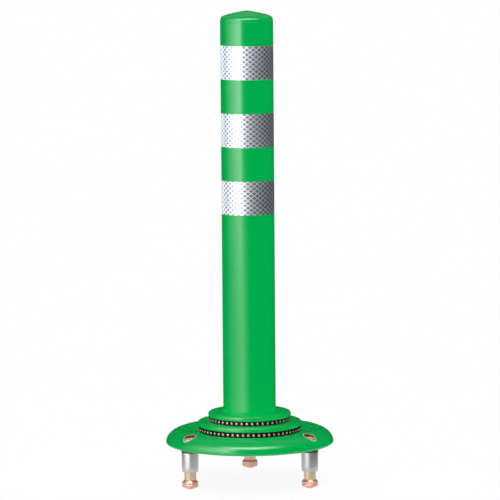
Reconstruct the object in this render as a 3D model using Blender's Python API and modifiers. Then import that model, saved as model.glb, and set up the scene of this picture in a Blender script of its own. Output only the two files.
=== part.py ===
"""Bolt-down delineator post: a bendable marker post on a round base with three expansion anchors.

Frame: the origin is the centre of the base's underside, at road level. +Z points up along the post
and -Y points to the front, so one anchor stands at the rear and the other two at the front.
"""
import math

import bmesh
import bpy

MM = 0.001
GAP = 0.3 * MM

# Post
POST_R = 39.5 * MM
WALL = 4.5 * MM
BORE_R = POST_R - WALL
ROOT_BOTTOM = 51.3 * MM
PIVOT_Z = 92.0 * MM
ROOT_TOP = 160.0 * MM
POST_TOP = 633.5 * MM
TOTAL_TOP = 650.0 * MM
PLUG_LOW = 618.0 * MM
PLUG_WALL = 3.5 * MM

# Reflective bands, which lie in shallow recesses of the post
BAND_H = 50.0 * MM
BAND_PITCH = 100.5 * MM
BAND_BOTTOMS = tuple(548.3 * MM - i * BAND_PITCH for i in range(3))
BAND_T = 0.4 * MM
RECESS = 0.75 * MM

# Base and the two stacked discs
BASE_R = 126.0 * MM
CREST_R = 98.0 * MM
CREST_Z = 22.7 * MM
SEAT_R = 79.0 * MM
LIP_Z = 2.6 * MM
SEAT_Z = 18.8 * MM
COLLAR_R = 78.3 * MM
COLLAR_Z = 26.9 * MM
COLLAR_TOP = 34.2 * MM
FLANGE_R = 62.3 * MM
FLANGE_Z = 41.1 * MM
FLANGE_FLOOR = 50.0 * MM
SPIGOT_TOP = 64.0 * MM
SPIGOT_BORE = 30.0 * MM
CENTRE_HOLE_R = 10.0 * MM

# Steel core and rubber pad let into the underside
PLATE_R = 120.5 * MM
PLATE_Z = 4.3 * MM
PLATE_T = 4.4 * MM
PAD_T = 4.0 * MM
POCKET_R = PLATE_R + GAP
POCKET_Z = PLATE_Z + PLATE_T + GAP

# Glass bead rings
BEAD_PITCH = 8.1 * MM
BEAD_RELIEF = 0.9 * MM
LOWER_RING_R = 78.1 * MM
LOWER_RING_BORE = 70.0 * MM
UPPER_RING_R = 61.9 * MM
UPPER_RING_BORE = 54.0 * MM

# Screws that hold the post's foot
FOOT_PCR = 24.0 * MM
FOOT_SCREW_R = 4.0 * MM
CLAMP_TOP = 56.3 * MM
CLAMP_BORE = 17.0 * MM
FOOT_HEAD_R = 6.6 * MM
FOOT_HEAD_Z = 0.6 * MM
FOOT_SCREW_TOP = 57.6 * MM
FOOT_SOCKET_R = 2.9 * MM

# Anchors
ANCHOR_PCR = 111.4 * MM
ANCHORS = (("right", -37.0), ("rear", 90.0), ("left", 217.0))
BUSH_R = 10.0 * MM
BOLT_R = 7.0 * MM
HEAD_R = 8.7 * MM
HEAD_Z = 10.6 * MM
HEAD_TOP = 17.4 * MM
SOCKET_AF = 10.4 * MM
TIP_Z = -58.3 * MM
SLEEVE_R = 12.8 * MM
SLEEVE_END = -32.0 * MM
SLEEVE_TAPER_Z = -26.0 * MM
CLIP_R = 8.9 * MM
CLIP_END = -44.0 * MM
NUT_R = 12.0 * MM
NUT_TOP = -44.4 * MM
NUT_END = -55.0 * MM
CONE_R = 9.2 * MM
CONE_H = 3.2 * MM
SLIT_W = 1.0 * MM
SLIT_H = 8.5 * MM

# Facets round each kind of turned piece
SEG_DISC = 48
SEG_POST = 36
SEG_SMALL = 18
SEG_SCREW = 12

GREEN = (0.004, 0.402, 0.080, 1.0)


def clear_scene():
    for obj in list(bpy.data.objects):
        bpy.data.objects.remove(obj, do_unlink=True)
    for coll in list(bpy.data.collections):
        bpy.data.collections.remove(coll)


def make_collection(name):
    coll = bpy.data.collections.new(name)
    bpy.context.scene.collection.children.link(coll)
    return coll


def make_material(name, color, rough, metal=0.0):
    mat = bpy.data.materials.new(name)
    mat.use_nodes = True
    shader = mat.node_tree.nodes["Principled BSDF"]
    shader.inputs["Base Color"].default_value = color
    shader.inputs["Roughness"].default_value = rough
    shader.inputs["Metallic"].default_value = metal
    mat.diffuse_color = color
    return mat


def place(name, mesh, coll, look, at=(0.0, 0.0, 0.0), parent=None):
    """A new object of this mesh, with its own material from look = (colour, roughness, metallic)."""
    obj = bpy.data.objects.new(name, mesh)
    coll.objects.link(obj)
    obj.location = at
    if parent:
        obj.parent = parent
        obj.location = tuple(a - b for a, b in zip(at, parent.location))
    if look:
        mesh.materials.append(make_material(name, *look))
    return obj


def shade(mesh, sharp_deg=35.0):
    mesh.shade_smooth()
    mesh.set_sharp_from_angle(angle=math.radians(sharp_deg))


def turned(name, profile, coll, look, steps, at=(0.0, 0.0, 0.0), parent=None):
    """A turned solid. profile lists (radius, z) down the outer side, and up the inner side of a ring."""
    mesh = bpy.data.meshes.new(name)
    ring = min(r for r, z in profile) > 0.0
    edges = [(i, i + 1) for i in range(len(profile) - 1)]
    if ring:
        edges.append((len(profile) - 1, 0))
    mesh.from_pydata([(r, 0.0, z) for r, z in profile], edges, [])
    obj = place(name, mesh, coll, None, at, parent)
    screw = obj.modifiers.new("turn", "SCREW")
    screw.axis = "Z"
    screw.angle = math.tau
    screw.steps = steps
    screw.render_steps = steps
    screw.use_merge_vertices = True
    screw.merge_threshold = 1e-5
    graph = bpy.context.evaluated_depsgraph_get()
    solid = bpy.data.meshes.new_from_object(obj.evaluated_get(graph))
    obj.modifiers.clear()
    obj.data = solid
    bpy.data.meshes.remove(mesh)
    solid.name = name
    shade(solid)
    solid.materials.append(make_material(name, *look))
    return obj


def cylinder(name, coll, look, radius, low, high, steps, at=(0.0, 0.0, 0.0)):
    """An upright cylinder, or a prism if steps is small, from z = low to high over the point at."""
    bm = bmesh.new()
    bmesh.ops.create_cone(
        bm, cap_ends=True, segments=steps, radius1=radius, radius2=radius, depth=high - low
    )
    bmesh.ops.translate(bm, vec=(0.0, 0.0, (low + high) / 2.0), verts=bm.verts)
    mesh = bpy.data.meshes.new(name)
    bm.to_mesh(mesh)
    bm.free()
    shade(mesh)
    return place(name, mesh, coll, look, at)


def cut(obj, tool):
    """Take the shape of tool away from obj."""
    tool.hide_render = True
    tool.display_type = "WIRE"
    boolean = obj.modifiers.new("cut", "BOOLEAN")
    boolean.operation = "DIFFERENCE"
    boolean.solver = "EXACT"
    boolean.object = tool


def keep_inside(obj, cutters, outline):
    """Trim obj to the solid that this outline turns, so that its end lies flush with that solid."""
    tool = turned(obj.name + "_envelope", outline, cutters, (GREEN, 0.42), SEG_DISC)
    cut(obj, tool)
    obj.modifiers["cut"].operation = "INTERSECT"


def bore(obj, cutters, radius, low, high, at=(0.0, 0.0), steps=SEG_SCREW):
    """Cut a straight hole through obj from z = low to high."""
    where = (obj.location.x + at[0], obj.location.y + at[1], obj.location.z)
    cut(obj, cylinder(obj.name + "_bore", cutters, None, radius, low, high, steps, where))


def spots(radius, angles):
    """Points on a circle about the post's axis."""
    return [(radius * math.cos(math.radians(a)), radius * math.sin(math.radians(a))) for a in angles]


def anchor_spots():
    return [(side, *spots(ANCHOR_PCR, [angle])[0]) for side, angle in ANCHORS]


def foot_spots():
    return spots(FOOT_PCR, [45.0, 135.0, 225.0, 315.0])


def base_top():
    """The base's top outline, from the centre of its flat seat, over the crest, to the ground."""
    outline = [(0.0, SEAT_Z), (SEAT_R, SEAT_Z)]
    outline += [(85.0 * MM, 20.1 * MM), (90.0 * MM, 21.5 * MM), (94.5 * MM, 22.4 * MM)]
    rise = CREST_Z - LIP_Z
    reach = BASE_R - CREST_R
    for step in range(9):
        a = math.radians(90.0 - step * 11.25)
        outline.append((CREST_R + reach * math.cos(a), LIP_Z + rise * math.sin(a)))
    return outline + [(BASE_R - 0.7 * MM, 0.9 * MM), (BASE_R - 2.4 * MM, 0.0)]


def build_base(coll, cutters):
    """Base disc: a low crest carries the anchors, and a shallow dish inside it carries the collar."""
    rubber = (GREEN, 0.42)
    outline = base_top() + [(POCKET_R, 0.0), (POCKET_R, POCKET_Z), (0.0, POCKET_Z)]
    base = turned("base_disc", outline, coll, rubber, SEG_DISC)
    for side, x, y in anchor_spots():
        bore(base, cutters, BUSH_R + GAP, 5.0 * MM, 30.0 * MM, (x, y), SEG_SMALL)
    for at in foot_spots():
        bore(base, cutters, FOOT_SCREW_R + GAP, 5.0 * MM, 30.0 * MM, at)

    steel = ((0.32, 0.33, 0.35, 1.0), 0.45, 1.0)
    top = PLATE_Z + PLATE_T
    plate = cylinder("core_plate", coll, steel, PLATE_R, PLATE_Z, top, SEG_DISC)
    black = ((0.02, 0.02, 0.022, 1.0), 0.85)
    pad = cylinder("bottom_pad", coll, black, PLATE_R, 0.0, PAD_T, SEG_DISC)
    for side, x, y in anchor_spots():
        bore(plate, cutters, BOLT_R + 2 * GAP, 1.0 * MM, 20.0 * MM, (x, y), SEG_SMALL)
        bore(pad, cutters, BOLT_R + 3 * GAP, -5.0 * MM, 10.0 * MM, (x, y), SEG_SMALL)
    for at in foot_spots():
        bore(plate, cutters, FOOT_SCREW_R + GAP, 1.0 * MM, 20.0 * MM, at)
        bore(pad, cutters, FOOT_HEAD_R + 2 * GAP, -5.0 * MM, 10.0 * MM, at)


def bead_ring(name, coll, cutters, radius, inner, low, high):
    """Black carrier strip whose outer edge swells at every glass bead."""
    count = round(math.tau * radius / BEAD_PITCH)
    dark = ((0.012, 0.008, 0.008, 1.0), 0.35)
    ring = cylinder(name, coll, dark, radius, low, high, 2 * count)
    for vert in ring.data.vertices:
        turn = math.atan2(vert.co.y, vert.co.x) / math.pi * count
        if round(turn) % 2:
            vert.co.x *= 1.0 - BEAD_RELIEF / radius
            vert.co.y *= 1.0 - BEAD_RELIEF / radius
    bore(ring, cutters, inner, low - 5.0 * MM, high + 5.0 * MM, steps=SEG_DISC)


def build_stack(coll, cutters):
    """The two discs over the base, each on its bead ring, and the screws that draw them together."""
    rubber = (GREEN, 0.42)
    low, high = SEAT_Z + GAP, COLLAR_Z - GAP
    bead_ring("lower_bead_ring", coll, cutters, LOWER_RING_R, LOWER_RING_BORE, low, high)
    boss = LOWER_RING_BORE - GAP
    outline = [(0.0, COLLAR_TOP), (FLANGE_R, COLLAR_TOP), (68.0 * MM, 34.5 * MM)]
    outline += [(73.5 * MM, 34.4 * MM), (COLLAR_R - 2.1 * MM, 33.7 * MM)]
    outline += [(COLLAR_R - 0.6 * MM, 32.4 * MM), (COLLAR_R, 30.6 * MM)]
    outline += [(COLLAR_R - 0.5 * MM, COLLAR_Z + 0.7 * MM)]
    outline += [(COLLAR_R - 1.6 * MM, COLLAR_Z), (boss, COLLAR_Z)]
    outline += [(boss, low), (0.0, low)]
    collar = turned("collar_disc", outline, coll, rubber, SEG_DISC)

    low = COLLAR_TOP + GAP
    high = FLANGE_Z - GAP
    bead_ring("upper_bead_ring", coll, cutters, UPPER_RING_R, UPPER_RING_BORE, low, high)
    boss = UPPER_RING_BORE - GAP
    outline = [(BORE_R - GAP, SPIGOT_TOP), (BORE_R - GAP, ROOT_BOTTOM - GAP)]
    outline += [(POST_R + 0.2 * MM, ROOT_BOTTOM - GAP), (45.0 * MM, 50.5 * MM)]
    outline += [(52.0 * MM, 49.9 * MM), (57.0 * MM, 49.0 * MM), (60.2 * MM, 47.8 * MM)]
    outline += [(FLANGE_R - 0.4 * MM, 45.9 * MM), (FLANGE_R, 43.8 * MM)]
    outline += [(FLANGE_R - 1.2 * MM, FLANGE_Z), (boss, FLANGE_Z), (boss, low)]
    outline += [(CENTRE_HOLE_R, low), (CENTRE_HOLE_R, FLANGE_FLOOR)]
    outline += [(SPIGOT_BORE, FLANGE_FLOOR), (SPIGOT_BORE, SPIGOT_TOP)]
    flange = turned("foot_flange", outline, coll, rubber, SEG_DISC)

    low = FLANGE_FLOOR + GAP
    outer = SPIGOT_BORE - GAP
    outline = [(outer, CLAMP_TOP), (outer, low), (CLAMP_BORE, low), (CLAMP_BORE, CLAMP_TOP)]
    clamp = turned("clamp_ring", outline, coll, ((0.45, 0.46, 0.48, 1.0), 0.4, 1.0), SEG_POST)

    for at in foot_spots():
        for piece in (collar, flange, clamp):
            bore(piece, cutters, FOOT_SCREW_R + GAP, 10.0 * MM, 70.0 * MM, at)
    for number, (x, y) in enumerate(foot_spots(), 1):
        foot_screw("foot_screw_%d" % number, coll, cutters, x, y)


def foot_screw(name, coll, cutters, x, y):
    """Low-head screw put in from the underside; it threads into the clamp ring."""
    r = FOOT_SCREW_R
    top = FOOT_SCREW_TOP
    outline = [(0.0, top), (r - 0.8 * MM, top), (r, top - 0.8 * MM), (r, PAD_T)]
    outline += [(FOOT_HEAD_R, PAD_T), (FOOT_HEAD_R, FOOT_HEAD_Z + 0.5 * MM)]
    outline += [(FOOT_HEAD_R - 0.5 * MM, FOOT_HEAD_Z), (0.0, FOOT_HEAD_Z)]
    steel = ((0.62, 0.62, 0.64, 1.0), 0.3, 1.0)
    screw = turned(name, outline, coll, steel, SEG_SCREW, (x, y, 0.0))
    bore(screw, cutters, FOOT_SOCKET_R, -2.0 * MM, 3.0 * MM, steps=6)


def bend_pivot(coll):
    """The empty at the point that the post bends about, which carries everything that bends."""
    pivot = bpy.data.objects.new("bend_pivot", None)
    pivot.location = (0.0, 0.0, PIVOT_Z)
    pivot.empty_display_size = 0.05
    coll.objects.link(pivot)
    return pivot


def build_post(coll, pivot):
    """Flexible root, post tube with recessed bands, and the closed cap."""
    rubber = (GREEN, 0.42)
    here = (0.0, 0.0, 0.0)
    outline = [(POST_R, ROOT_TOP), (POST_R, PIVOT_Z), (POST_R, ROOT_BOTTOM)]
    outline += [(BORE_R, ROOT_BOTTOM), (BORE_R, PIVOT_Z), (BORE_R, ROOT_TOP)]
    turned("flexible_root", outline, coll, rubber, SEG_POST, here, pivot)

    outline = [(POST_R, POST_TOP)]
    edge = 0.2 * MM
    for low in BAND_BOTTOMS:
        high = low + BAND_H
        outline += [(POST_R, high + edge), (POST_R - RECESS, high + edge)]
        outline += [(POST_R - RECESS, low - edge), (POST_R, low - edge)]
    outline += [(POST_R, ROOT_TOP + GAP), (BORE_R, ROOT_TOP + GAP), (BORE_R, POST_TOP)]
    turned("post_tube", outline, coll, rubber, SEG_POST, here, pivot)

    inner = POST_R - RECESS + GAP
    for number, low in enumerate(BAND_BOTTOMS, 1):
        high = low + BAND_H
        outer = inner + BAND_T
        outline = [(outer, high), (outer, low), (inner, low), (inner, high)]
        silver = ((0.78, 0.78, 0.80, 1.0), 0.3)
        turned("reflective_band_%d" % number, outline, coll, silver, SEG_POST, here, pivot)

    low = POST_TOP + GAP
    plug = BORE_R - GAP
    outline = [(0.0, TOTAL_TOP), (3.0 * MM, 649.8 * MM), (7.0 * MM, 649.1 * MM)]
    outline += [(17.0 * MM, 647.0 * MM), (27.0 * MM, 644.7 * MM), (31.5 * MM, 643.5 * MM)]
    outline += [(35.0 * MM, 642.2 * MM), (37.4 * MM, 640.5 * MM), (38.9 * MM, 638.2 * MM)]
    outline += [(POST_R, low), (plug, low), (plug, PLUG_LOW)]
    outline += [(plug - PLUG_WALL, PLUG_LOW), (plug - PLUG_WALL, 635.0 * MM), (0.0, 644.5 * MM)]
    turned("top_cap", outline, coll, rubber, SEG_POST, here, pivot)


def build_anchor(side, x, y, coll, cutters):
    """One expansion anchor: bush, bolt, sleeve, split clip and the cone nut that the bolt draws up."""
    zinc = ((0.62, 0.60, 0.60, 1.0), 0.28, 1.0)
    brass = ((0.63, 0.44, 0.25, 1.0), 0.34, 1.0)
    at = (x, y, 0.0)

    low = PLATE_Z + PLATE_T + GAP
    high = HEAD_Z - GAP
    rim = CREST_Z + 1.0 * MM
    outline = [(BUSH_R, rim), (BUSH_R, low), (BOLT_R + GAP, low), (BOLT_R + GAP, high)]
    outline += [(HEAD_R + GAP, high), (HEAD_R + GAP, rim)]
    bush = turned("anchor_bush_" + side, outline, coll, zinc, SEG_SMALL, at)
    keep_inside(bush, cutters, base_top() + [(0.0, 0.0)])

    outline = [(0.0, HEAD_TOP), (HEAD_R - 1.3 * MM, HEAD_TOP), (HEAD_R, HEAD_TOP - 1.1 * MM)]
    outline += [(HEAD_R, HEAD_Z), (BOLT_R, HEAD_Z), (BOLT_R, TIP_Z + 4.5 * MM)]
    outline += [(BOLT_R - 0.9 * MM, TIP_Z + 2.0 * MM), (BOLT_R - 3.0 * MM, TIP_Z + 0.4 * MM)]
    outline += [(0.0, TIP_Z)]
    bolt = turned("anchor_bolt_" + side, outline, coll, zinc, SEG_SMALL, at)
    socket = SOCKET_AF / math.sqrt(3.0)
    bore(bolt, cutters, socket, HEAD_TOP - 5.0 * MM, HEAD_TOP + 5.0 * MM, steps=6)

    inner = BOLT_R + 2 * GAP
    top = -GAP
    outline = [(SLEEVE_R - 0.6 * MM, top), (SLEEVE_R, top - 0.6 * MM), (SLEEVE_R, SLEEVE_TAPER_Z)]
    outline += [(SLEEVE_R - 0.9 * MM, SLEEVE_END), (inner, SLEEVE_END), (inner, top)]
    turned("anchor_sleeve_" + side, outline, coll, zinc, SEG_SMALL, at)

    top = SLEEVE_END - GAP
    outline = [(CLIP_R, top), (CLIP_R, CLIP_END), (inner, CLIP_END), (inner, top)]
    clip = turned("expansion_clip_" + side, outline, coll, brass, SEG_SMALL, at)
    for quarter in range(2):
        slit(clip, cutters, quarter * math.pi / 2.0)

    outline = [(CONE_R, NUT_TOP), (NUT_R, NUT_TOP - CONE_H), (NUT_R, NUT_END + 0.9 * MM)]
    outline += [(NUT_R - 0.9 * MM, NUT_END), (BOLT_R + GAP, NUT_END), (BOLT_R + GAP, NUT_TOP)]
    copper = ((0.66, 0.36, 0.24, 1.0), 0.3, 1.0)
    turned("cone_nut_" + side, outline, coll, copper, SEG_SMALL, at)


def slit(clip, cutters, turn):
    """Two opposite slits up from the clip's lower end, which let its four leaves spread."""
    bm = bmesh.new()
    bmesh.ops.create_cube(bm, size=1.0)
    bmesh.ops.scale(bm, vec=(30.0 * MM, SLIT_W, 2.0 * SLIT_H), verts=bm.verts)
    mesh = bpy.data.meshes.new(clip.name + "_slit")
    bm.to_mesh(mesh)
    bm.free()
    tool = place(clip.name + "_slit", mesh, cutters, None, clip.location)
    tool.location.z = CLIP_END
    tool.rotation_euler.z = turn
    cut(clip, tool)


def main():
    clear_scene()
    coll = make_collection("delineator_post")
    cutters = make_collection("cutters")
    build_base(coll, cutters)
    build_stack(coll, cutters)
    build_post(coll, bend_pivot(coll))
    for side, x, y in anchor_spots():
        build_anchor(side, x, y, coll, cutters)


main()
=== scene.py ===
"""Looks for the bolt-down delineator post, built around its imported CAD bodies.

Metres throughout, in the CAD's own frame: the origin is the centre of the base's underside,
+Z runs up the post and -Y is the front.
"""
import math

import bmesh
import bpy
from mathutils import Euler, Matrix, Vector


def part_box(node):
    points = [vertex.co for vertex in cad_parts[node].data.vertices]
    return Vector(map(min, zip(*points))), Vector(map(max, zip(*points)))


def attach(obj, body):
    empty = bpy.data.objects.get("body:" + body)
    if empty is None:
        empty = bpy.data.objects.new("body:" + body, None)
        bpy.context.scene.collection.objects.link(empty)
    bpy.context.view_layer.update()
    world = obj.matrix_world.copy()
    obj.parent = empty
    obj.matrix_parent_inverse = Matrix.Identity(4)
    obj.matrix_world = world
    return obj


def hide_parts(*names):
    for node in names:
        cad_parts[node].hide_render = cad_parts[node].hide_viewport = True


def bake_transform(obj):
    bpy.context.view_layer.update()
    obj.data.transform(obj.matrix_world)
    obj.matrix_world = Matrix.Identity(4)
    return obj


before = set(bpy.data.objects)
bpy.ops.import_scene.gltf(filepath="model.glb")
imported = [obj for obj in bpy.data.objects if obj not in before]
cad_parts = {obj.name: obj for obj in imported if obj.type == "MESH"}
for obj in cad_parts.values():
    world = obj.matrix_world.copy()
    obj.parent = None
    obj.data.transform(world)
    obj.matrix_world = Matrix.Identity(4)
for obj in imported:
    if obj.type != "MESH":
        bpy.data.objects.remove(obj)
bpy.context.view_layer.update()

MM = 0.001
GAP = 0.3 * MM

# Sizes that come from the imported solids
POST_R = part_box("post_tube")[1].x
POST_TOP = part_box("post_tube")[1].z
ROOT_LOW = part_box("flexible_root")[0].z
ROOT_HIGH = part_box("flexible_root")[1].z
CAP_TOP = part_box("top_cap")[1].z
CAP_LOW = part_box("top_cap")[0].z
BASE_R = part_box("base_disc")[1].x
FLANGE_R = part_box("foot_flange")[1].x
COLLAR_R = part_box("collar_disc")[1].x
PAD_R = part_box("bottom_pad")[1].x
PAD_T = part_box("bottom_pad")[1].z
PLATE_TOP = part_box("core_plate")[1].z
LEG_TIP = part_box("anchor_bolt_rear")[0].z

# Post
WALL = 4.5 * MM
BORE_R = POST_R - WALL

# The cap's top from its tip outwards, as (radius, z, fillet) in mm
CAP_DOME = (
    (3.0, 649.8, 6.0), (17.0, 647.0, 30.0), (27.0, 644.7, 30.0), (31.5, 643.5, 12.0),
    (35.0, 642.2, 6.0), (37.4, 640.5, 4.0), (38.9, 638.2, 5.0),
)
PLUG_WALL = 3.5 * MM
PLUG_SHOULDER = 635.0 * MM
PLUG_CEILING = 644.5 * MM

# Reflective bands, each in a shallow recess of the post
BANDS = (1, 2, 3)
BAND_T = 0.4 * MM
BAND_FILLET = 0.12 * MM
BAND_SEAM_DEG = 1.6
RECESS = 0.75 * MM
RECESS_EDGE = 0.2 * MM
RECESS_FILLET = 0.25 * MM
LATTICE_CELLS = 26
LATTICE_RISE = 7.1 * MM

# The post leans about two axes through one point. Its root is built as two pieces, split at this
# height
ROOT_SPLIT = 112.0 * MM
ROW_STEP = 2.0 * MM

# Base: a flat seat, a slope up to the crest as (radius, z, fillet) in mm, and a lip outside it
SEAT_R = 79.0 * MM
SEAT_Z = 18.8 * MM
BASE_SLOPE = ((85.0, 20.1, 8.0), (90.0, 21.5, 15.0), (94.5, 22.4, 15.0))
CREST_R = 98.0 * MM
CREST_Z = 22.7 * MM
LIP_Z = 2.6 * MM
LIP_STEPS = 16

# Grooves under the bottom pad, from its edge inwards
RIB_END_R = 84.0 * MM
RIB_PITCH = 5.6 * MM
RIB_W = 3.0 * MM
GROOVE_SIDE = 0.6 * MM
GROOVE_DEEP = 1.0 * MM
PAD_FILLET = 0.3 * MM
PAD_SCREW_R = 7.0 * MM

# Discs. Each one's boss goes down through the bead ring under it
COLLAR_Z = 26.9 * MM
COLLAR_TOP = 34.2 * MM
COLLAR_BOSS_R = 70.0 * MM
FLANGE_Z = 41.1 * MM
FLANGE_FLOOR = 50.0 * MM
FLANGE_BOSS_R = 54.0 * MM
FLANGE_BORE_R = 10.0 * MM
SPIGOT_BORE_R = 30.0 * MM
SPIGOT_TOP = 64.0 * MM
# The flange's top from the post outwards, as (radius, z, fillet) in mm
FLANGE_SLOPE = ((45.0, 50.5, 15.0), (52.0, 49.9, 20.0), (57.0, 49.0, 10.0), (60.5, 48.0, 4.0))
FOOT_PCR = 24.0 * MM
FOOT_SCREW_R = 4.0 * MM
ANCHOR_HOLE_R = 10.3 * MM
BUSH_R = 10.0 * MM

# Bead rings
STRIP_INSET = 1.45 * MM
STRIP_FILLET = 0.5 * MM
BEAD_PITCH = 8.1 * MM
BEAD_R = 1.95 * MM
BEAD_FOOT = 0.3
BEAD_RISE = 1.0
BEAD_TIP = 1.32
CUP_R = 2.6 * MM

# Anchors
SIDES = ("right", "rear", "left")
BOLT_R = 7.0 * MM
HEAD_R = 8.7 * MM
HEAD_Z = 10.6 * MM
SOCKET_AF = 10.4 * MM
SOCKET_DEEP = 5.0 * MM
KNURL_DEEP = 0.22 * MM
THREAD_PITCH = 2.0 * MM
THREAD_DEEP = 0.9 * MM
THREAD_TOP = -30.0 * MM
SLEEVE_R = 12.8 * MM
# Height of the sleeve's top band, which is painted dark as shade under the base
SHADE_BAND_H = 2.8 * MM
CLIP_R = 8.9 * MM
CLIP_ROWS = 12
SLIT_HALF_L = 15.0 * MM
SLIT_HALF_W = 0.5 * MM
SLIT_HALF_H = 8.5 * MM
NUT_R = 12.0 * MM
NUT_TOP_R = 9.2 * MM

# Facets round a turned piece, and the angle between the steps of a fillet
FINE = 160
MEDIUM = 96
SMALL = 64
FILLET_STEP = math.radians(18.0)

GREEN = (0.0, 0.418, 0.078, 1.0)

# Camera: where it stands, and its turns in radians
CAMERA_AT = (0.0, -4.9946, 0.8388)
CAMERA_LENS = 241.6
CAMERA_DOWN = 0.1091
CAMERA_PAN = -0.0005
CAMERA_ROLL = -0.0076

# Part of the even light that casts no shadow
FILL = 0.68

# The bands' own light: strength, size, tilt from overhead, and turn towards the left
BAND_KEY = 9.0
BAND_KEY_SIZE_DEG = 85.0
BAND_KEY_TILT_DEG = 82.0
BAND_KEY_TURN_DEG = -108.0

# Light tent and floor, in metres, and the strength of the tent's two lamps
TENT_R = 1.5
TENT_Z = 0.3
SOFTBOX = 7.6
BANK = 15.0
FLOOR_NEAR_R = 0.32
FLOOR_FAR_R = 60.0
FLOOR_GLOW = 0.70


# ---------------------------------------------------------------- mesh helpers


def rounded(corners, closed):
    """Points through corners (radius, z, fillet), with each fillet as a fan of short steps."""
    out = []
    for i, (r, z, fillet) in enumerate(corners):
        here = Vector((r, z))
        if not fillet or (not closed and i in (0, len(corners) - 1)):
            out.append(here)
            continue
        before = Vector(corners[i - 1][:2]) - here
        after = Vector(corners[(i + 1) % len(corners)][:2]) - here
        half = before.angle(after) / 2.0
        reach = min(fillet / math.tan(half), 0.49 * before.length, 0.49 * after.length)
        before.normalize()
        after.normalize()
        radius = reach * math.tan(half)
        centre = here + (before + after).normalized() * (radius / math.sin(half))
        first = here + before * reach - centre
        last = here + after * reach - centre
        turn = math.atan2(first.x * last.y - first.y * last.x, first.dot(last))
        steps = max(2, math.ceil(abs(turn) / FILLET_STEP))
        for k in range(steps + 1):
            c, s = math.cos(turn * k / steps), math.sin(turn * k / steps)
            out.append(centre + Vector((first.x * c - first.y * s, first.x * s + first.y * c)))
    return out


def new_object(name, verts, faces):
    mesh = bpy.data.meshes.new(name)
    mesh.from_pydata(verts, [], faces)
    bm = bmesh.new()
    bm.from_mesh(mesh)
    bmesh.ops.recalc_face_normals(bm, faces=bm.faces)
    bm.to_mesh(mesh)
    bm.free()
    obj = bpy.data.objects.new(name, mesh)
    bpy.context.scene.collection.objects.link(obj)
    return obj


def lathe(name, corners, steps=FINE, at=(0.0, 0.0), closed=False, ripple=None, gap_deg=0.0):
    """A turned solid. A closed outline makes a ring, and gap_deg leaves a slot at its rear."""
    path = rounded(corners, closed)
    span = math.tau - math.radians(gap_deg)
    first = math.pi / 2.0 + math.radians(gap_deg) / 2.0
    columns = steps + 1 if gap_deg else steps
    angles = [first + span * i / steps for i in range(columns)]
    verts = []
    rings = []
    for r, z in path:
        if r < 1e-6:
            rings.append([len(verts)])
            verts.append((at[0], at[1], z))
            continue
        rings.append(range(len(verts), len(verts) + columns))
        for a in angles:
            reach = ripple(r, z, a) if ripple else r
            verts.append((at[0] + reach * math.cos(a), at[1] + reach * math.sin(a), z))
    pairs = list(zip(rings, rings[1:]))
    if closed:
        pairs.append((rings[-1], rings[0]))
    faces = []
    for a, b in pairs:
        for i in range(steps):
            j = (i + 1) % columns
            if len(a) == 1:
                faces.append((a[0], b[i], b[j]))
            elif len(b) == 1:
                faces.append((a[i], b[0], a[j]))
            else:
                faces.append((a[i], b[i], b[j], a[j]))
    if gap_deg:
        faces.append([ring[0] for ring in rings])
        faces.append([ring[-1] for ring in rings])
    return new_object(name, verts, faces)


def baked(obj):
    """Apply obj's modifiers to its mesh."""
    graph = bpy.context.evaluated_depsgraph_get()
    mesh = bpy.data.meshes.new_from_object(obj.evaluated_get(graph), depsgraph=graph)
    old = obj.data
    obj.modifiers.clear()
    obj.data = mesh
    bpy.data.meshes.remove(old)
    mesh.name = obj.name


def carve(obj, tools):
    """Take each tool's shape away from obj, and then remove the tool."""
    for tool in tools:
        boolean = obj.modifiers.new("carve", "BOOLEAN")
        boolean.operation = "DIFFERENCE"
        boolean.solver = "EXACT"
        boolean.object = tool
    baked(obj)
    for tool in tools:
        bpy.data.objects.remove(tool, do_unlink=True)


def drill(at, radius, low, high, steps=SMALL):
    """A tool for a straight hole."""
    corners = [(0.0, high, 0.0), (radius, high, 0.0), (radius, low, 0.0), (0.0, low, 0.0)]
    return lathe("tool", corners, steps, at)


def smooth(obj, sharp_deg=32.0, weighted=True):
    obj.data.shade_smooth()
    obj.data.set_sharp_from_angle(angle=math.radians(sharp_deg))
    if weighted:
        normals = obj.modifiers.new("normals", "WEIGHTED_NORMAL")
        normals.keep_sharp = True
        normals.weight = 80
    return obj


def dress(obj, material, body, slot, *nodes):
    """Give obj its material and body, and let it stand for these CAD nodes. The slot argument is not
    used.
    """
    if not obj.data.materials:
        obj.data.materials.append(material)
    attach(obj, body)
    if nodes:
        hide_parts(*nodes)
    return obj


def two_tone(obj, look, second, test):
    """Give obj two materials: second where test(face centre) holds, and look elsewhere."""
    obj.data.materials.append(look)
    obj.data.materials.append(second)
    for face in obj.data.polygons:
        face.material_index = int(test(face.center))


def profile(points):
    """Corners in metres, from (radius, z, fillet) in mm."""
    return [(r * MM, z * MM, fillet * MM) for r, z, fillet in points]


def foot_spots():
    """Centres of the four foot screws."""
    turns = [math.radians(a) for a in (45.0, 135.0, 225.0, 315.0)]
    return [(FOOT_PCR * math.cos(a), FOOT_PCR * math.sin(a)) for a in turns]


def centre_of(node):
    low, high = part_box(node)
    return ((low.x + high.x) / 2.0, (low.y + high.y) / 2.0)


# ------------------------------------------------------------------- materials


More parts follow.
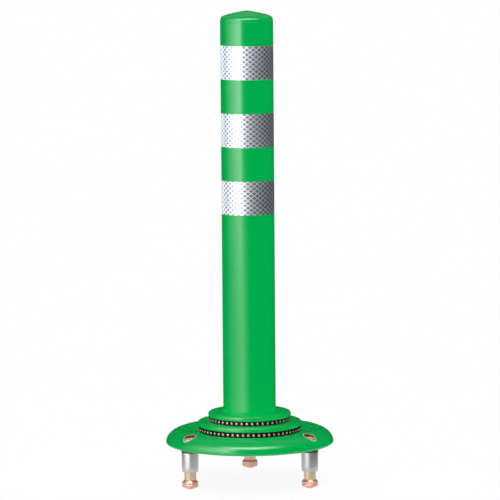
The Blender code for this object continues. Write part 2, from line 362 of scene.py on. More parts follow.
class Graph:
    """A small helper that builds a material's nodes."""

    def __init__(self, name):
        self.material = bpy.data.materials.new(name)
        self.material.use_nodes = True
        self.tree = self.material.node_tree
        self.shader = self.tree.nodes["Principled BSDF"]
        self.place = self.tree.nodes.new("ShaderNodeTexCoord").outputs["Object"]

    def set(self, **values):
        for key, value in values.items():
            self.shader.inputs[key.replace("_", " ")].default_value = value

    def put(self, socket, value):
        if hasattr(value, "links"):
            self.tree.links.new(value, socket)
        else:
            socket.default_value = value

    def math(self, kind, a, b=0.0, c=0.0):
        node = self.tree.nodes.new("ShaderNodeMath")
        node.operation = kind
        for socket, value in zip(node.inputs, (a, b, c)):
            self.put(socket, value)
        return node.outputs[0]

    def noise(self, size, detail=3.0, stretch=(1.0, 1.0, 1.0)):
        """Noise whose grains are about size metres across, longer along a stretched axis."""
        mapping = self.tree.nodes.new("ShaderNodeMapping")
        self.put(mapping.inputs["Vector"], self.place)
        mapping.inputs["Scale"].default_value = tuple(1.0 / s for s in stretch)
        node = self.tree.nodes.new("ShaderNodeTexNoise")
        self.put(node.inputs["Vector"], mapping.outputs["Vector"])
        node.inputs["Scale"].default_value = 1.0 / size
        node.inputs["Detail"].default_value = detail
        return node.outputs["Fac"]

    def between(self, value, low, high, out_low, out_high):
        node = self.tree.nodes.new("ShaderNodeMapRange")
        node.interpolation_type = "SMOOTHSTEP"
        for socket, number in zip(node.inputs, (value, low, high, out_low, out_high)):
            self.put(socket, number)
        return node.outputs[0]

    def mix(self, factor, a, b):
        node = self.tree.nodes.new("ShaderNodeMix")
        node.data_type = "RGBA"
        self.put(node.inputs["Factor"], factor)
        self.put(node.inputs["A"], a)
        self.put(node.inputs["B"], b)
        return node.outputs["Result"]

    def split(self):
        node = self.tree.nodes.new("ShaderNodeSeparateXYZ")
        self.put(node.inputs[0], self.place)
        return node.outputs

    def link(self, name, value):
        self.put(self.shader.inputs[name], value)

    def bump(self, height, depth, strength=1.0):
        node = self.tree.nodes.new("ShaderNodeBump")
        node.inputs["Strength"].default_value = strength
        node.inputs["Distance"].default_value = depth
        self.put(node.inputs["Height"], height)
        self.put(self.shader.inputs["Normal"], node.outputs["Normal"])


def shade_of(color, factor):
    return tuple(c * factor for c in color[:3]) + (1.0,)


def urethane():
    """Moulded green urethane: satin, with a faint orange peel and slight mottling."""
    g = Graph("green_urethane")
    g.set(Specular_Tint=(1.0, 0.58, 1.0, 1.0))
    mottle = g.between(g.noise(18.0 * MM, 4.0), 0.35, 0.65, 0.0, 1.0)
    g.link("Base Color", g.mix(mottle, shade_of(GREEN, 0.985), shade_of(GREEN, 1.015)))
    g.link("Roughness", g.between(g.noise(3.0 * MM), 0.3, 0.7, 0.19, 0.25))
    g.bump(g.noise(1.6 * MM, 2.0), 0.02 * MM, 0.4)
    return g.material


def sheeting():
    """Retroreflective sheet: a clear film over silvery cells, with a pale diamond lattice."""
    g = Graph("reflective_sheet")
    g.set(Metallic=0.8, Coat_Weight=0.6, Coat_Roughness=0.12, Coat_IOR=1.7)
    x, y, z = g.split()
    turn = g.math("ARCTAN2", x, y)
    across = g.math("MULTIPLY", turn, LATTICE_CELLS / math.tau)
    along = g.math("DIVIDE", z, LATTICE_RISE)
    lines = None
    for sign in ("ADD", "SUBTRACT"):
        phase = g.math("FRACT", g.math(sign, across, along))
        off = g.math("ABSOLUTE", g.math("SUBTRACT", phase, 0.5))
        lines = off if lines is None else g.math("MAXIMUM", lines, off)
    ridge = g.between(lines, 0.405, 0.46, 0.0, 1.0)
    deep, pale, speck = (0.15, 0.165, 0.195, 1.0), (0.31, 0.335, 0.37, 1.0), (0.25, 0.27, 0.305, 1.0)
    cell = g.mix(g.between(lines, 0.18, 0.40, 0.0, 1.0), deep, pale)
    cell = g.mix(g.between(g.noise(1.2 * MM), 0.35, 0.65, 0.0, 1.0), cell, speck)
    g.link("Base Color", g.mix(ridge, cell, (0.74, 0.78, 0.83, 1.0)))
    g.link("Roughness", g.between(ridge, 0.0, 1.0, 0.46, 0.60))
    g.bump(ridge, 0.04 * MM, 0.5)
    return g.material


def strip_rubber():
    g = Graph("bead_strip")
    g.set(Specular_IOR_Level=0.12)
    grain = g.noise(0.8 * MM)
    g.link("Base Color", g.mix(grain, (0.004, 0.0015, 0.001, 1.0), (0.012, 0.004, 0.003, 1.0)))
    g.link("Roughness", g.between(grain, 0.3, 0.7, 0.38, 0.55))
    g.bump(grain, 0.03 * MM, 0.5)
    return g.material


def bead_glass():
    """Glass beads with a pink-silver back."""
    g = Graph("bead_glass")
    g.set(Metallic=0.55, Coat_Weight=1.0, Coat_Roughness=0.05)
    grain = g.noise(0.9 * MM, 2.0)
    g.link("Base Color", g.mix(grain, (0.34, 0.19, 0.17, 1.0), (0.72, 0.48, 0.44, 1.0)))
    g.link("Roughness", g.between(grain, 0.3, 0.7, 0.18, 0.34))
    return g.material


def metal(name, color, rough, metallic=0.75, grain=(1.0, 1.0, 12.0)):
    """Plated metal with fine drawing marks, and mottled plating."""
    g = Graph(name)
    g.set(Metallic=metallic)
    marks = g.noise(0.25 * MM, 3.0, grain)
    mottle = g.noise(2.5 * MM, 4.0)
    g.link("Base Color", g.mix(mottle, shade_of(color, 0.82), shade_of(color, 1.12)))
    g.link("Roughness", g.between(marks, 0.25, 0.75, rough - 0.07, rough + 0.09))
    g.bump(marks, 0.02 * MM, 0.35)
    return g.material


def black_rubber():
    g = Graph("black_rubber")
    grain = g.noise(0.7 * MM, 4.0)
    mottle = g.noise(14.0 * MM)
    g.link("Base Color", g.mix(mottle, (0.014, 0.014, 0.015, 1.0), (0.026, 0.026, 0.027, 1.0)))
    g.link("Roughness", g.between(grain, 0.3, 0.7, 0.68, 0.86))
    g.bump(grain, 0.05 * MM, 0.6)
    return g.material


# ------------------------------------------------------------------------ base


def lip_corners():
    """The base's top outline, from its flat seat over the crest to the outer edge."""
    corners = [(0.0, SEAT_Z, 0.0), (SEAT_R, SEAT_Z, 3.0 * MM)] + profile(BASE_SLOPE)
    for k in range(LIP_STEPS + 1):
        a = math.radians(90.0 - k * 90.0 / LIP_STEPS)
        r = CREST_R + (BASE_R - CREST_R) * math.cos(a)
        corners.append((r, LIP_Z + (CREST_Z - LIP_Z) * math.sin(a), 0.0))
    corners += [(BASE_R - 0.7 * MM, 0.9 * MM, 1.0 * MM), (BASE_R - 2.4 * MM, 0.0, 0.5 * MM)]
    return corners


def height_at(corners, radius):
    """Height of an outline at a radius."""
    for (r0, z0), (r1, z1) in zip(corners, corners[1:]):
        if r0 <= radius <= r1:
            return z0 + (z1 - z0) * (radius - r0) / (r1 - r0)
    return corners[-1][1]


def sloped_rows(at, rows, outline, ring, steps=SMALL):
    """Vertices and faces through rows (radius, z, depth). A row with no z of its own lies depth
    under the base's curved top. A ring joins its last row to its first."""
    verts = []
    for radius, fixed, depth in rows:
        for i in range(steps):
            a = math.tau * i / steps
            x = at[0] + radius * math.cos(a)
            y = at[1] + radius * math.sin(a)
            z = fixed if depth is None else height_at(outline, math.hypot(x, y)) - depth
            verts.append((x, y, z))
    faces = []
    for row in range(len(rows) if ring else len(rows) - 1):
        a, b = row * steps, (row + 1) % len(rows) * steps
        for i in range(steps):
            j = (i + 1) % steps
            faces.append((a + i, b + i, b + j, a + j))
    if not ring:
        faces += [list(range(steps)), list(range(len(verts) - steps, len(verts)))]
    return verts, faces


def anchor_tool(at, outline, low):
    """A tool for an anchor hole, whose flared mouth follows the curved top of the base."""
    chamfer = 0.4 * MM
    wide = ANCHOR_HOLE_R + chamfer + 0.2 * MM
    mouth = [(ANCHOR_HOLE_R, low, None)]
    for k in range(5):
        a = math.radians(90.0 * k / 4.0)
        grown = ANCHOR_HOLE_R + chamfer * (1.0 - math.cos(a))
        mouth.append((grown, None, chamfer * (1.0 - math.sin(a))))
    mouth += [(wide, None, -0.25 * MM), (wide, CREST_Z + 6.0 * MM, None)]
    return new_object("tool", *sloped_rows(at, mouth, outline, False))


def base_outline():
    return [(p.x, p.y) for p in rounded(lip_corners(), False)]


def build_base(green, outline):
    pocket = PAD_R + GAP
    top = PLATE_TOP + GAP
    corners = lip_corners() + [(pocket, 0.0, 0.4 * MM), (pocket, top, 0.0), (0.0, top, 0.0)]
    base = lathe("base_shell", corners, 192)
    tools = [anchor_tool(centre_of("anchor_bolt_" + side), outline, 5.0 * MM) for side in SIDES]
    tools += [drill(at, FOOT_SCREW_R + GAP, 5.0 * MM, 30.0 * MM) for at in foot_spots()]
    carve(base, tools)
    dress(smooth(base, 40.0), green, "base", "green_urethane", "base_disc")


def build_pad(rubber):
    """The bottom pad, with ring-shaped ribs round its outer part."""
    ribs = [(0.0, PAD_T, 0.0), (PAD_R, PAD_T, PAD_FILLET), (PAD_R, 0.4 * MM, PAD_FILLET)]
    outer = PAD_R - 2.0 * MM
    while outer > RIB_END_R:
        inner = outer - RIB_W
        ribs += [(outer, 0.0, PAD_FILLET), (inner, 0.0, PAD_FILLET)]
        ribs += [(inner - GROOVE_SIDE, GROOVE_DEEP, PAD_FILLET)]
        ribs += [(outer - RIB_PITCH + GROOVE_SIDE, GROOVE_DEEP, PAD_FILLET)]
        outer -= RIB_PITCH
    ribs += [(outer, 0.0, PAD_FILLET), (0.0, 0.0, 0.0)]
    pad = lathe("ribbed_pad", ribs, 128)
    tools = [drill(centre_of("anchor_bolt_" + s), BOLT_R + 3 * GAP, -5 * MM, 9 * MM) for s in SIDES]
    tools += [drill(at, PAD_SCREW_R, -5.0 * MM, 9.0 * MM) for at in foot_spots()]
    carve(pad, tools)
    dress(smooth(pad), rubber, "base", "black_rubber", "bottom_pad")


# ----------------------------------------------------------------------- discs


def build_collar(green):
    boss = COLLAR_BOSS_R - GAP
    low = SEAT_Z + GAP
    corners = [(0.0, COLLAR_TOP, 0.0), (FLANGE_R, COLLAR_TOP, 8.0 * MM)]
    corners += [(68.0 * MM, 34.5 * MM, 8.0 * MM), (COLLAR_R - 0.5 * MM, 34.3 * MM, 3.6 * MM)]
    corners += [(COLLAR_R, COLLAR_Z + 1.3 * MM, 1.0 * MM)]
    corners += [(COLLAR_R - 1.6 * MM, COLLAR_Z, 0.5 * MM), (boss, COLLAR_Z, 0.0)]
    corners += [(boss, low, 0.3 * MM), (0.0, low, 0.0)]
    collar = lathe("collar_moulding", corners, FINE)
    carve(collar, [drill(at, FOOT_SCREW_R + GAP, 10.0 * MM, 60.0 * MM) for at in foot_spots()])
    dress(smooth(collar), green, "base", "green_urethane", "collar_disc")


def build_flange(green):
    low = COLLAR_TOP + GAP
    boss = FLANGE_BOSS_R - GAP
    spigot = BORE_R - GAP
    rise = ROOT_LOW - GAP
    corners = [(spigot, SPIGOT_TOP, 0.6 * MM), (spigot, rise, 0.0)]
    corners += [(POST_R + 0.2 * MM, rise, 0.0)] + profile(FLANGE_SLOPE)
    corners += [(FLANGE_R - 0.2 * MM, 45.9 * MM, 4.0 * MM), (FLANGE_R, 43.2 * MM, 2.0 * MM)]
    corners += [(FLANGE_R - 1.2 * MM, FLANGE_Z, 0.5 * MM), (boss, FLANGE_Z, 0.0)]
    corners += [(boss, low, 0.3 * MM), (FLANGE_BORE_R, low, 0.4 * MM)]
    corners += [(FLANGE_BORE_R, FLANGE_FLOOR, 0.4 * MM), (SPIGOT_BORE_R, FLANGE_FLOOR, 0.3 * MM)]
    corners += [(SPIGOT_BORE_R, SPIGOT_TOP, 0.6 * MM)]
    flange = lathe("flange_moulding", corners, FINE, closed=True)
    carve(flange, [drill(at, FOOT_SCREW_R + GAP, 20.0 * MM, 60.0 * MM) for at in foot_spots()])
    dress(smooth(flange), green, "base", "green_urethane", "foot_flange")


def bead_template():
    """Two outlines about the bead's own axis, as (height in mm, radius): its cup, and its dome."""
    cup = [(0.0, CUP_R), (0.55, CUP_R - 0.1 * MM), (0.8, CUP_R - 0.35 * MM), (0.7, BEAD_R)]
    cup += [(0.2, BEAD_R - 0.1 * MM)]
    dome = [(BEAD_FOOT, BEAD_R)]
    for k in range(1, 6):
        a = math.radians(90.0 * k / 6.0)
        dome.append((BEAD_FOOT + BEAD_RISE * math.sin(a), BEAD_R * math.cos(a)))
    return cup, dome


def studs(name, outline, tip_lift, radius, height, count, steps=16):
    """A stud at every bead place of a ring, with a flat end, or a point tip_lift mm out.
    outline is (height in mm, radius)."""
    verts = []
    faces = []
    for n in range(count):
        turn = math.tau * (n + 0.5) / count
        out = Vector((math.cos(turn), math.sin(turn), 0.0))
        side = Vector((-math.sin(turn), math.cos(turn), 0.0))
        start = len(verts)
        for lift, reach in outline:
            for i in range(steps):
                a = math.tau * i / steps
                flat = side * (reach * math.cos(a)) + Vector((0.0, 0.0, reach * math.sin(a)))
                verts.append(out * (radius + lift * MM) + flat + Vector((0.0, 0.0, height)))
        rows = len(outline)
        for row in range(rows - 1):
            for i in range(steps):
                j = (i + 1) % steps
                a, b = start + row * steps, start + (row + 1) * steps
                faces.append((a + i, a + j, b + j, b + i))
        faces.append([start + i for i in range(steps)])
        last = start + (rows - 1) * steps
        if tip_lift:
            verts.append(out * (radius + tip_lift * MM) + Vector((0.0, 0.0, height)))
            tip = len(verts) - 1
            faces += [(last + i, last + (i + 1) % steps, tip) for i in range(steps)]
        else:
            faces.append([last + i for i in range(steps)])
    return new_object(name, verts, faces)


def build_bead_ring(which, strip_look, bead_look):
    node = which + "_bead_ring"
    low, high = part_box(node)
    outer = high.x
    inner = FLANGE_BOSS_R if which == "upper" else COLLAR_BOSS_R
    face = outer - STRIP_INSET
    corners = [(inner, high.z, 0.0), (face, high.z, STRIP_FILLET)]
    corners += [(face, low.z, STRIP_FILLET), (inner, low.z, 0.0)]
    strip = lathe(which + "_bead_strip", corners, FINE, closed=True)
    dress(smooth(strip), strip_look, "base", "bead_strip", node)
    count = round(math.tau * outer / BEAD_PITCH)
    cup, dome = bead_template()
    middle = (low.z + high.z) / 2.0
    cups = studs(which + "_bead_cups", cup, None, face, middle, count)
    dress(smooth(cups, 50.0), strip_look, "base", "bead_strip")
    beads = studs(which + "_beads", dome, BEAD_TIP, face, middle, count)
    dress(smooth(beads, 60.0, False), bead_look, "base", "bead_strip")


# ------------------------------------------------------------------------ post


def root_rows(low, high):
    """Outline of one length of the root, in closely spaced rows."""
    count = round((high - low) / ROW_STEP)
    heights = [low + (high - low) * k / count for k in range(count + 1)]
    corners = [(POST_R, z, 0.0) for z in reversed(heights)]
    return corners + [(BORE_R, z, 0.0) for z in heights]


def build_root(green):
    lower = lathe("root_lower", root_rows(ROOT_LOW, ROOT_SPLIT), FINE, closed=True)
    upper = lathe("root_upper", root_rows(ROOT_SPLIT, ROOT_HIGH), FINE, closed=True)
    for piece in (lower, upper):
        smooth(piece, 60.0, False)
        piece.data.materials.append(green)
    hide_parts("flexible_root")
    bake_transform(lower)
    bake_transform(upper)


def build_post(green):
    corners = [(POST_R, POST_TOP, 0.3 * MM)]
    floor = POST_R - RECESS
    for number in BANDS:
        low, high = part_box("reflective_band_%d" % number)
        top, bottom = high.z + RECESS_EDGE, low.z - RECESS_EDGE
        corners += [(POST_R, top, RECESS_FILLET), (floor, top, RECESS_FILLET)]
        corners += [(floor, bottom, RECESS_FILLET), (POST_R, bottom, RECESS_FILLET)]
    corners += [(POST_R, ROOT_HIGH, 0.0), (BORE_R, ROOT_HIGH, 0.0), (BORE_R, POST_TOP, 0.3 * MM)]
    tube = lathe("post_shell", corners, FINE, closed=True)
    dress(smooth(tube), green, "post", "green_urethane", "post_tube")


def build_cap(green):
    low = POST_TOP + GAP
    plug = BORE_R - GAP
    corners = [(0.0, CAP_TOP, 0.0)] + profile(CAP_DOME) + [(POST_R, low, 0.2 * MM)]
    corners += [(plug, low, 0.0), (plug, CAP_LOW, 0.6 * MM)]
    corners += [(plug - PLUG_WALL, CAP_LOW, 0.6 * MM), (plug - PLUG_WALL, PLUG_SHOULDER, 1.0 * MM)]
    corners += [(0.0, PLUG_CEILING, 0.0)]
    dress(smooth(lathe("cap_moulding", corners, FINE)), green, "post", "green_urethane", "top_cap")


def build_band(number, sheet):
    node = "reflective_band_%d" % number
    low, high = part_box(node)
    outer = high.x
    inner = outer - BAND_T
    corners = [(outer, high.z, BAND_FILLET), (outer, low.z, BAND_FILLET)]
    corners += [(inner, low.z, 0.0), (inner, high.z, 0.0)]
    band = lathe("sheet_band_%d" % number, corners, FINE, closed=True, gap_deg=BAND_SEAM_DEG)
    return dress(smooth(band), sheet, "post", "reflective_sheet", node)


# --------------------------------------------------------------------- anchors


def bolt_ripple(head_low, head_high, thread_low, thread_high):
    """Fine ridges round the bolt's head, and a screw thread down its end."""

    def ripple(r, z, a):
        if head_low < z < head_high and r > HEAD_R - 0.05 * MM:
            return r - KNURL_DEEP * (round(a / math.tau * MEDIUM) % 2)
        if thread_low < z < thread_high and abs(r - BOLT_R) < 0.05 * MM:
            phase = (z / THREAD_PITCH + a / math.tau) % 1.0
            fade = min(1.0, (thread_high - z) / THREAD_PITCH)
            return r - THREAD_DEEP * fade * (1.0 - abs(2.0 * phase - 1.0))
        return r

    return ripple


def build_bolt(side, look, recess_shade_look):
    """An anchor's bolt: a knurled head with a hex socket, and a thread down its lower end. The
    socket's inside is painted dark as shade.
    """
    node = "anchor_bolt_" + side
    low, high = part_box(node)
    at = centre_of(node)
    thread_low = low.z + 1.9 * MM
    corners = [(0.0, high.z, 0.0), (HEAD_R, high.z, 0.9 * MM), (HEAD_R, high.z - 2.0 * MM, 0.0)]
    corners += [(HEAD_R, HEAD_Z + 1.2 * MM, 0.0), (HEAD_R, HEAD_Z, 0.4 * MM)]
    corners += [(BOLT_R, HEAD_Z, 0.4 * MM), (BOLT_R, THREAD_TOP, 0.0)]
    rows = round((THREAD_TOP - thread_low) / (THREAD_PITCH / 8.0))
    for k in range(1, rows + 1):
        corners.append((BOLT_R, THREAD_TOP - (THREAD_TOP - thread_low) * k / rows, 0.0))
    corners += [(BOLT_R - 1.1 * MM, low.z + 1.2 * MM, 0.0)]
    corners += [(BOLT_R - 3.0 * MM, low.z + 0.3 * MM, 0.0), (0.0, low.z, 0.0)]
    ripple = bolt_ripple(HEAD_Z + 1.0 * MM, high.z - 1.9 * MM, thread_low, THREAD_TOP)
    bolt = lathe("bolt_" + side, corners, MEDIUM, at, ripple=ripple)
    hexagon = SOCKET_AF / math.sqrt(3.0)
    tool = drill(at, hexagon, high.z - SOCKET_DEEP, high.z + 4.0 * MM, 6)
    lead = [(0.0, high.z - 1.2 * MM, 0.0), (hexagon - 0.5 * MM, high.z - 1.2 * MM, 0.0)]
    lead += [(hexagon + 1.1 * MM, high.z + 0.4 * MM, 0.0), (0.0, high.z + 0.4 * MM, 0.0)]
    carve(bolt, [tool, lathe("tool", lead, 48, at)])

    def in_socket(p):
        away = math.hypot(p.x - at[0], p.y - at[1])
        return away < hexagon + 0.2 * MM and high.z - SOCKET_DEEP - MM < p.z < high.z - 0.8 * MM

    # Painted shade inside the hex socket
    two_tone(bolt, look, recess_shade_look, in_socket)
    dress(smooth(bolt, 28.0), look, "bolt_" + side, "zinc_steel", node)


def build_bush(side, look, wall_shade_look, outline):
    """The metal liner of an anchor hole, which ends flush with the slope of the base. Its wall above
    the shelf is painted dark as shade in the hole.
    """
    node = "anchor_bush_" + side
    at = centre_of(node)
    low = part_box(node)[0].z
    shelf = HEAD_Z - GAP
    wall = HEAD_R + GAP
    rows = [(BUSH_R, low, None), (BUSH_R, None, 0.15 * MM), (BUSH_R - 0.15 * MM, None, 0.02 * MM)]
    rows += [(wall + 0.35 * MM, None, 0.02 * MM), (wall + 0.1 * MM, None, 0.2 * MM)]
    rows += [(wall, None, 0.6 * MM), (wall, shelf, None)]
    rows += [(BOLT_R + GAP, shelf, None), (BOLT_R + GAP, low, None)]
    bush = new_object("bush_" + side, *sloped_rows(at, rows, outline, True))

    def on_wall(p):
        return math.hypot(p.x - at[0], p.y - at[1]) < wall + 0.05 * MM and p.z > shelf

    # Painted shade on the hole's wall above the bolt head
    two_tone(bush, look, wall_shade_look, on_wall)
    dress(smooth(bush), look, "base", "zinc_steel", node)


def build_sleeve(side, zinc, base_shade_look):
    """An anchor's sleeve, with a small step round its top end. The band above the step is painted
    dark as the shade under the base.
    """
    node = "anchor_sleeve_" + side
    low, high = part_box(node)
    inner = BOLT_R + 2 * GAP
    seam = high.z - SHADE_BAND_H
    body = SLEEVE_R - 0.3 * MM
    corners = [(SLEEVE_R, high.z, 0.7 * MM), (SLEEVE_R, seam, 0.3 * MM)]
    corners += [(SLEEVE_R - 0.4 * MM, seam - 0.1 * MM, 0.0), (body, seam - 0.5 * MM, 0.2 * MM)]
    corners += [(body, low.z + 6.0 * MM, 2.0 * MM)]
    corners += [(SLEEVE_R - 0.9 * MM, low.z, 0.5 * MM), (inner, low.z, 0.3 * MM)]
    corners += [(inner, high.z, 0.3 * MM)]
    sleeve = lathe("sleeve_" + side, corners, MEDIUM, centre_of(node), closed=True)
    # Painted shade: the band above the step is dark where the base shades the sleeve
    two_tone(sleeve, zinc, base_shade_look, lambda p: p.z > seam - 0.1 * MM)
    dress(smooth(sleeve), zinc, "base", "zinc_steel", node)


def build_clip(side, plate):
    """An anchor's clip, slit twice across from its lower end."""
    node = "expansion_clip_" + side
    low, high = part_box(node)
    at = centre_of(node)
    inner = BOLT_R + 2 * GAP
    heights = [low.z + (high.z - low.z) * k / CLIP_ROWS for k in range(CLIP_ROWS + 1)]
    corners = [(CLIP_R, z, 0.0) for z in reversed(heights)]
    corners[-1] = (CLIP_R - 0.2 * MM, low.z, 0.0)
    corners += [(inner, z, 0.0) for z in heights]
    clip = lathe("clip_" + side, corners, SMALL, at, closed=True)
    tools = []
    for quarter in range(2):
        turn = Matrix.Rotation(quarter * math.pi / 2.0, 4, "Z")
        verts = []
        for x in (-SLIT_HALF_L, SLIT_HALF_L):
            for y in (-SLIT_HALF_W, SLIT_HALF_W):
                for z in (-SLIT_HALF_H, SLIT_HALF_H):
                    verts.append(turn @ Vector((x, y, z)) + Vector((at[0], at[1], low.z)))
        sides = [(0, 1, 3, 2), (4, 6, 7, 5), (0, 4, 5, 1), (2, 3, 7, 6), (0, 2, 6, 4), (1, 5, 7, 3)]
        tools.append(new_object("tool", verts, sides))
    carve(clip, tools)
    smooth(clip, 32.0, False)
    clip.data.materials.append(plate)
    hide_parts(node)
    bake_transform(clip)


def build_nut(side, plate):
    """An anchor's nut, with a cone towards the clip and a fine groove round its middle."""
    node = "cone_nut_" + side
    low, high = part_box(node)
    inner = BOLT_R + GAP
    groove = low.z + 4.6 * MM
    corners = [(NUT_TOP_R, high.z, 0.3 * MM), (NUT_R, high.z - 3.2 * MM, 0.5 * MM)]
    corners += [(NUT_R, groove + 0.5 * MM, 0.15 * MM), (NUT_R - 0.35 * MM, groove, 0.1 * MM)]
    corners += [(NUT_R, groove - 0.5 * MM, 0.15 * MM), (NUT_R, low.z + 1.0 * MM, 0.5 * MM)]
    corners += [(NUT_R - 1.0 * MM, low.z, 0.4 * MM), (inner, low.z, 0.4 * MM)]
    corners += [(inner, high.z, 0.3 * MM)]
    nut = lathe("nut_" + side, corners, MEDIUM, centre_of(node), closed=True)
    dress(smooth(nut), plate, "nut_" + side, "copper_plate", node)


# --------------------------------------------------------- pieces left as they are


def recolor(nodes, material):
    for node in nodes:
        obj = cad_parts[node]
        for slot in obj.material_slots:
            slot.material = material


# ---------------------------------------------------------------------- studio


def build_camera():
    data = bpy.data.cameras.new("camera")
    data.sensor_width = 36.0
    data.lens = CAMERA_LENS
    data.clip_end = 200.0
    camera = bpy.data.objects.new("camera", data)
    bpy.context.scene.collection.objects.link(camera)
    camera.location = CAMERA_AT
    turn = Euler((math.pi / 2.0 - CAMERA_DOWN, 0.0, CAMERA_PAN)).to_matrix()
    roll = Matrix.Rotation(CAMERA_ROLL, 3, "Z")
    camera.rotation_euler = (turn @ roll).to_euler()
    bpy.context.scene.camera = camera


def build_floor():
    """A wide pale floor at the anchors' tips. It gives the object no diffuse light, and only its
    middle shows in reflections."""
    look = Graph("floor_white")
    look.set(Roughness=1.0, Specular_IOR_Level=0.0, Emission_Strength=FLOOR_GLOW)
    mottle = look.noise(0.2, 3.0)
    white, pale = (0.300, 0.300, 0.300, 1.0), (0.294, 0.294, 0.294, 1.0)
    look.link("Base Color", look.mix(mottle, pale, white))
    look.set(Emission_Color=(1.0, 1.0, 1.0, 1.0))
    level = LEG_TIP - 0.2 * MM
    inner = lathe("floor_near", [(0.0, level, 0.0), (FLOOR_NEAR_R, level, 0.0)], 64)
    outer = lathe("floor_far", [(FLOOR_NEAR_R, level, 0.0), (FLOOR_FAR_R, level, 0.0)], 64)
    outer.visible_glossy = False
    for floor in (inner, outer):
        floor.visible_diffuse = False
        floor.visible_shadow = False
        floor.data.materials.append(look.material)


def tent_glow(g):
    """Brightness of the light tent, from where a point of it is."""
    x, y, z = g.split()
    turn = g.math("ARCTAN2", x, g.math("MULTIPLY", y, -1.0))
    out = g.math("SQRT", g.math("ADD", g.math("MULTIPLY", x, x), g.math("MULTIPLY", y, y)))
    rise = g.math("ARCTAN2", z, out)

    def deg(value):
        return math.radians(value)

    # A tall softbox to the left, brightest at its near edge, and dimmer towards the floor
    fade = g.math("MAXIMUM", 0.0, g.math("DIVIDE", g.math("ADD", turn, deg(108.0)), deg(71.0)))
    fade = g.math("POWER", fade, 1.4)
    edge_soft = g.between(turn, deg(-34.0), deg(-17.0), 1.0, 0.0)
    edge_wide = g.between(turn, deg(-38.0), deg(4.0), 1.0, 0.0)
    upper = g.between(z, -0.35, 0.10, 0.0, 1.0)
    edge = g.math("ADD", g.math("MULTIPLY", edge_soft, upper),
                  g.math("MULTIPLY", edge_wide, g.math("SUBTRACT", 1.0, upper)))
    tall = g.between(z, -0.30, 0.12, 0.36, 1.0)
    softbox = g.math("MULTIPLY", g.math("MULTIPLY", fade, edge), g.math("MULTIPLY", tall, SOFTBOX))
    softbox = g.math("MULTIPLY", softbox, g.between(rise, deg(32.0), deg(48.0), 1.0, 0.0))

    # A bank of light over the camera
    over = g.between(rise, deg(36.0), deg(46.0), 0.0, 1.0)
    over = g.math("MULTIPLY", over, g.between(rise, deg(56.0), deg(64.0), 1.0, 0.0))
    side = g.between(g.math("ABSOLUTE", turn), deg(10.0), deg(75.0), 1.0, 0.0)
    bank = g.math("MULTIPLY", g.math("MULTIPLY", over, side), BANK)

    # The tent's own cloth: dark at the sides, with a pale roof
    roof = g.between(rise, deg(22.0), deg(48.0), 0.012, 0.30)
    return g.math("ADD", g.math("ADD", softbox, bank), roof)


def build_tent():
    """A round light tent that shows only in reflections."""
    g = Graph("tent_light")
    glow = g.tree.nodes.new("ShaderNodeEmission")
    g.put(glow.inputs["Strength"], tent_glow(g))
    g.put(g.tree.nodes["Material Output"].inputs["Surface"], glow.outputs[0])
    g.tree.nodes.remove(g.shader)
    g.material.cycles.emission_sampling = "NONE"
    bm = bmesh.new()
    bmesh.ops.create_icosphere(bm, subdivisions=4, radius=TENT_R)
    mesh = bpy.data.meshes.new("light_tent")
    bm.to_mesh(mesh)
    bm.free()
    mesh.shade_smooth()
    tent = bpy.data.objects.new("light_tent", mesh)
    tent.location = (0.0, 0.0, TENT_Z)
    bpy.context.scene.collection.objects.link(tent)
    mesh.materials.append(g.material)
    tent.visible_camera = False
    tent.visible_diffuse = False
    tent.visible_shadow = False
    tent.visible_transmission = False


def build_world():
    """A white backdrop, which lights nothing itself."""
    world = bpy.data.worlds.new("studio")
    world.use_nodes = True
    background = world.node_tree.nodes["Background"]
    background.inputs["Color"].default_value = (1.0, 1.0, 1.0, 1.0)
    background.inputs["Strength"].default_value = 1.0
    for ray in ("diffuse", "glossy", "transmission", "scatter"):
        setattr(world.cycles_visibility, ray, False)
    bpy.context.scene.world = world
    bpy.context.scene.view_settings.view_transform = "Standard"


def build_lights():
    """Even light from above and below, left out of reflections. A share of it casts no shadow."""
    for name, tilt in (("sky", 0.0), ("ground", math.pi)):
        for share, shadow in ((1.0 - FILL, True), (FILL, False)):
            data = bpy.data.lights.new("%s_%s" % (name, "shadowed" if shadow else "fill"), "SUN")
            data.angle = math.pi
            data.energy = math.pi * share
            data.use_shadow = shadow
            data.cycles.use_multiple_importance_sampling = False
            light = bpy.data.objects.new(data.name, data)
            light.rotation_euler = (tilt, 0.0, 0.0)
            light.visible_glossy = False
            light.visible_camera = False
            bpy.context.scene.collection.objects.link(light)


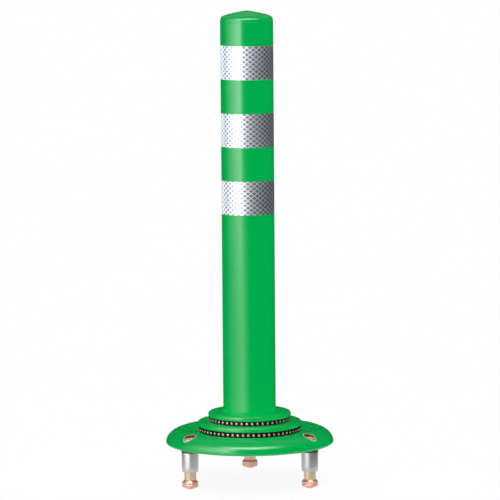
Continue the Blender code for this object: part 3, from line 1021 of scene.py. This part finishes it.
def build_band_key(bands):
    """A soft light from the left and a little behind, for the reflective sheet only."""
    data = bpy.data.lights.new("band_key", "SUN")
    data.angle = math.radians(BAND_KEY_SIZE_DEG)
    data.energy = BAND_KEY
    data.use_shadow = False
    key = bpy.data.objects.new("band_key", data)
    tilt, turn = math.radians(BAND_KEY_TILT_DEG), math.radians(BAND_KEY_TURN_DEG)
    key.rotation_euler = Euler((tilt, 0.0, turn))
    key.visible_camera = False
    bpy.context.scene.collection.objects.link(key)
    chosen = bpy.data.collections.new("band_key_receivers")
    for band in bands:
        chosen.objects.link(band)
    key.light_linking.receiver_collection = chosen


def main():
    build_camera()
    build_world()
    build_lights()
    build_tent()
    build_floor()
    green = urethane()
    rubber = black_rubber()
    strip_look = strip_rubber()
    bead_look = bead_glass()
    zinc = metal("zinc_plate", (0.52, 0.51, 0.52), 0.30, 0.88)
    # Painted shade for the band at each sleeve's top, under the base
    base_shade_look = metal("painted_base_shade", (0.060, 0.034, 0.026), 0.5, 0.1)
    bolt_look = metal("bolt_plate", (0.66, 0.46, 0.41), 0.36, 0.45)
    bush_look = metal("bush_plate", (0.84, 0.66, 0.60), 0.38, 0.35)
    # Painted shade for the insides of the bolt sockets and the anchor holes
    recess_shade_look = metal("painted_recess_shade", (0.13, 0.03, 0.02), 0.55, 0.3)
    tan = metal("tan_plate", (0.60, 0.47, 0.32), 0.42, 0.5)
    copper = metal("copper_plate", (0.72, 0.40, 0.30), 0.34, 0.6)
    steel = metal("core_steel", (0.42, 0.43, 0.45), 0.45, 0.85)
    outline = base_outline()
    build_base(green, outline)
    build_pad(rubber)
    build_collar(green)
    build_flange(green)
    for which in ("lower", "upper"):
        build_bead_ring(which, strip_look, bead_look)
    build_root(green)
    build_post(green)
    build_cap(green)
    sheet = sheeting()
    build_band_key([build_band(number, sheet) for number in BANDS])
    for side in SIDES:
        build_bolt(side, bolt_look, recess_shade_look)
        build_bush(side, bush_look, recess_shade_look, outline)
        build_sleeve(side, zinc, base_shade_look)
        build_clip(side, tan)
        build_nut(side, copper)
    recolor(["core_plate", "clamp_ring"], steel)
    recolor(["foot_screw_%d" % n for n in (1, 2, 3, 4)], zinc)


main()
